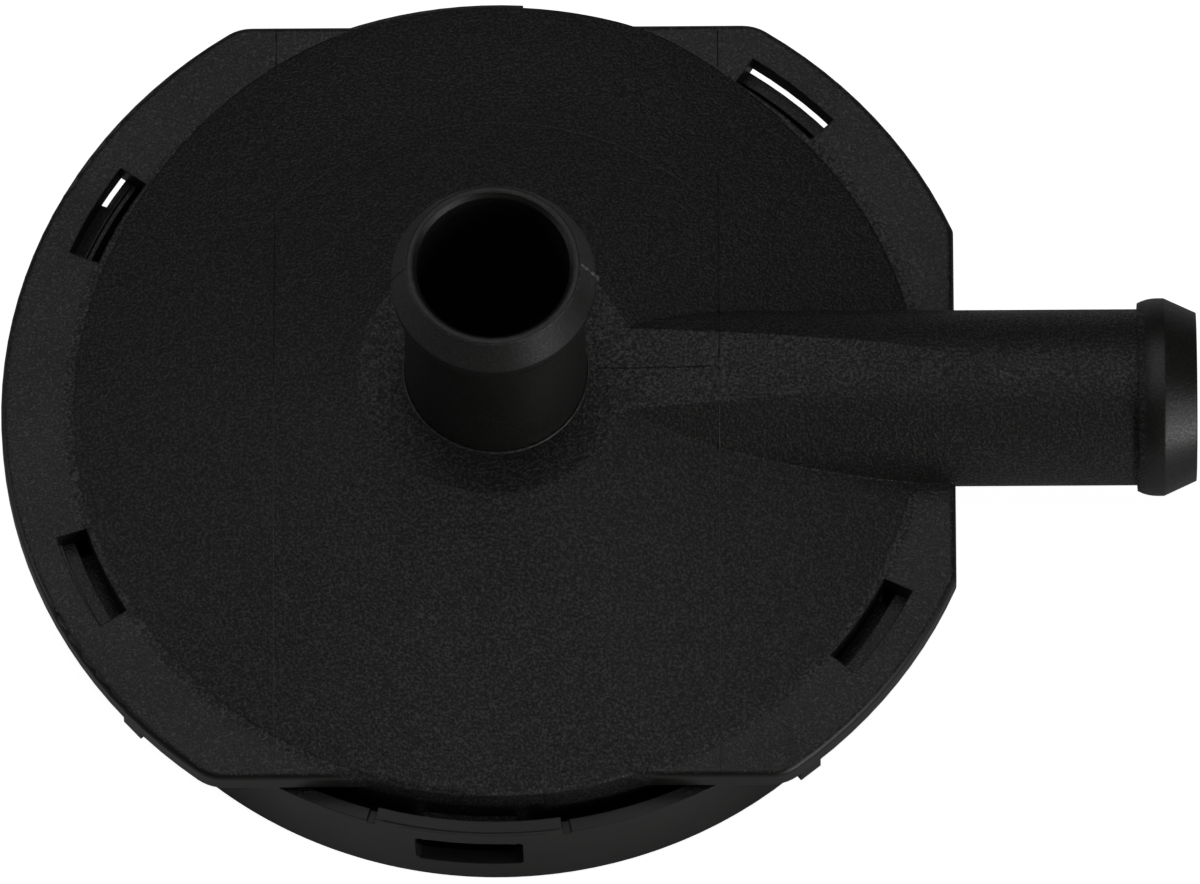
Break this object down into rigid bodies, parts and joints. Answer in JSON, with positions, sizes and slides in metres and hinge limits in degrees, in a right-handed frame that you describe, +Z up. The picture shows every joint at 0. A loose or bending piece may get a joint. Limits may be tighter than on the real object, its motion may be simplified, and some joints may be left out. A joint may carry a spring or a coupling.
{
  "type": "crankcase vent valve",
  "caption": "Round black plastic diaphragm valve with an upright outlet hose pipe, a side inlet hose pipe and a clipped-on lower cover.",
  "frame": {"origin": "centre of the base face of the lower cover, on the valve axis", "axes": "+Z up the outlet pipe along the valve axis, +X out along the inlet pipe"},
  "size_m": [0.1221, 0.0934, 0.0498],
  "materials": {
    "housing_plastic": "fine grained moulded",
    "cover_plastic": "smooth moulded",
    "diaphragm_rubber": "matte",
    "plate_plastic": "smooth moulded",
    "seal_rubber": "matte",
    "plate_steel": "pressed, zinc plated",
    "clip_steel": "spring steel",
    "spring_steel": "drawn wire"
  },
  "bodies": {
    "housing": {"upper_housing": "housing_plastic", "lower_cover": "cover_plastic", "diaphragm": "diaphragm_rubber", "return_spring": "spring_steel"},
    "valve": {"valve_plate": "plate_plastic", "seat_seal": "seal_rubber", "support_plate": "plate_steel", "push_nut": "clip_steel"}
  },
  "joints": [
    {"name": "valve_lift", "type": "slide", "parent": "housing", "child": "valve", "axis": [0, 0, 1], "range_m": [0, 0.0042], "stiffness_N_per_m": 600, "springref_m": -0.005, "deforming": ["return_spring", "diaphragm"]}
  ]
}
